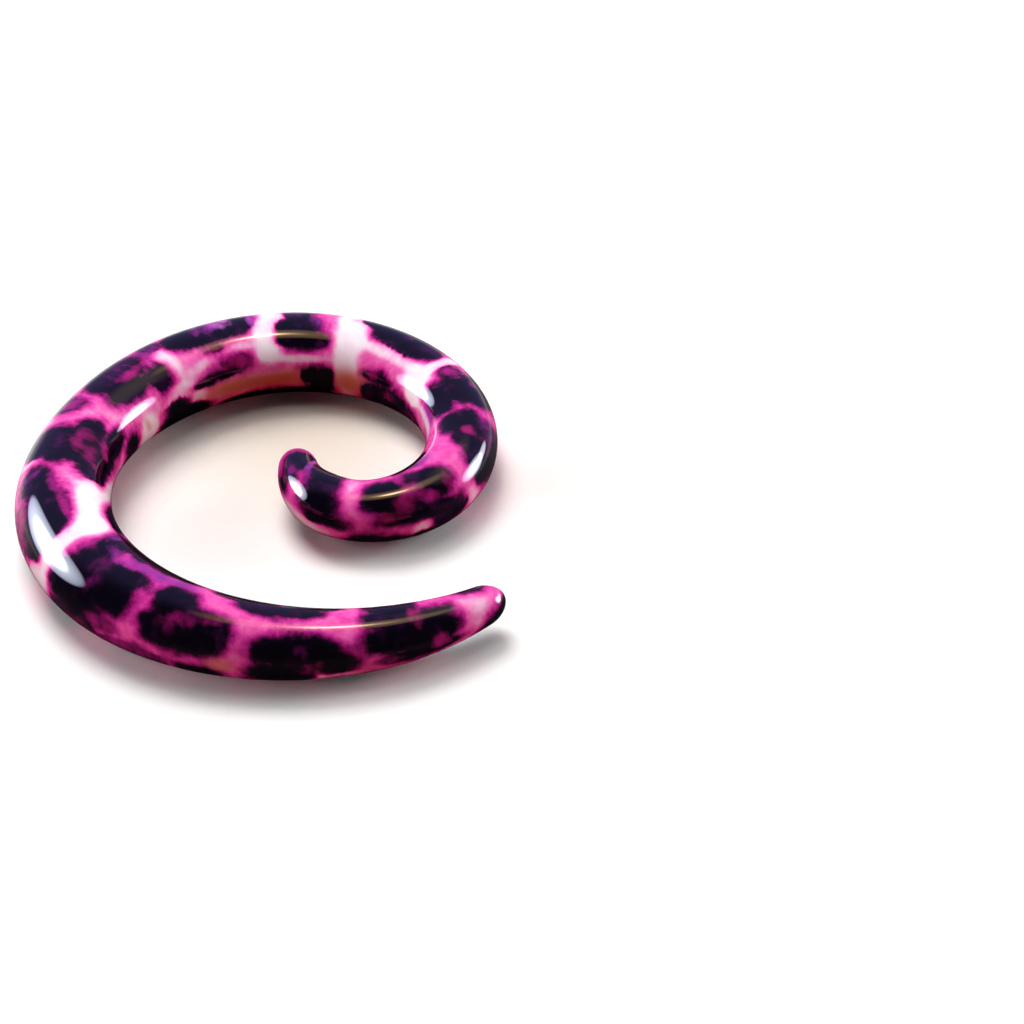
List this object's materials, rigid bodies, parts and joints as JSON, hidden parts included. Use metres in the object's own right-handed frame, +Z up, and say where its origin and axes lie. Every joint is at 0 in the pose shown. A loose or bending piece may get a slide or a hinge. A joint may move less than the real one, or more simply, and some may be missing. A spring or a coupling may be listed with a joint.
{
  "type": "spiral ear taper",
  "caption": "Flat spiral ear taper: a solid clear-coated acrylic rod in leopard print, thickest where the ear lobe sits and tapered to a rounded tip at each end.",
  "frame": {"origin": "centre of the box, at the surface that the taper lies on", "axes": "+Z up from that surface, +Y from the tail's side to the back of the spiral, +X to the right of it"},
  "size_m": [0.0512, 0.0576, 0.0101],
  "materials": {
    "printed_acrylic": "pink and magenta leopard print with black blotches under a thick glossy clear coat"
  },
  "bodies": {
    "root": {"spiral_taper": "printed_acrylic"}
  },
  "joints": []
}
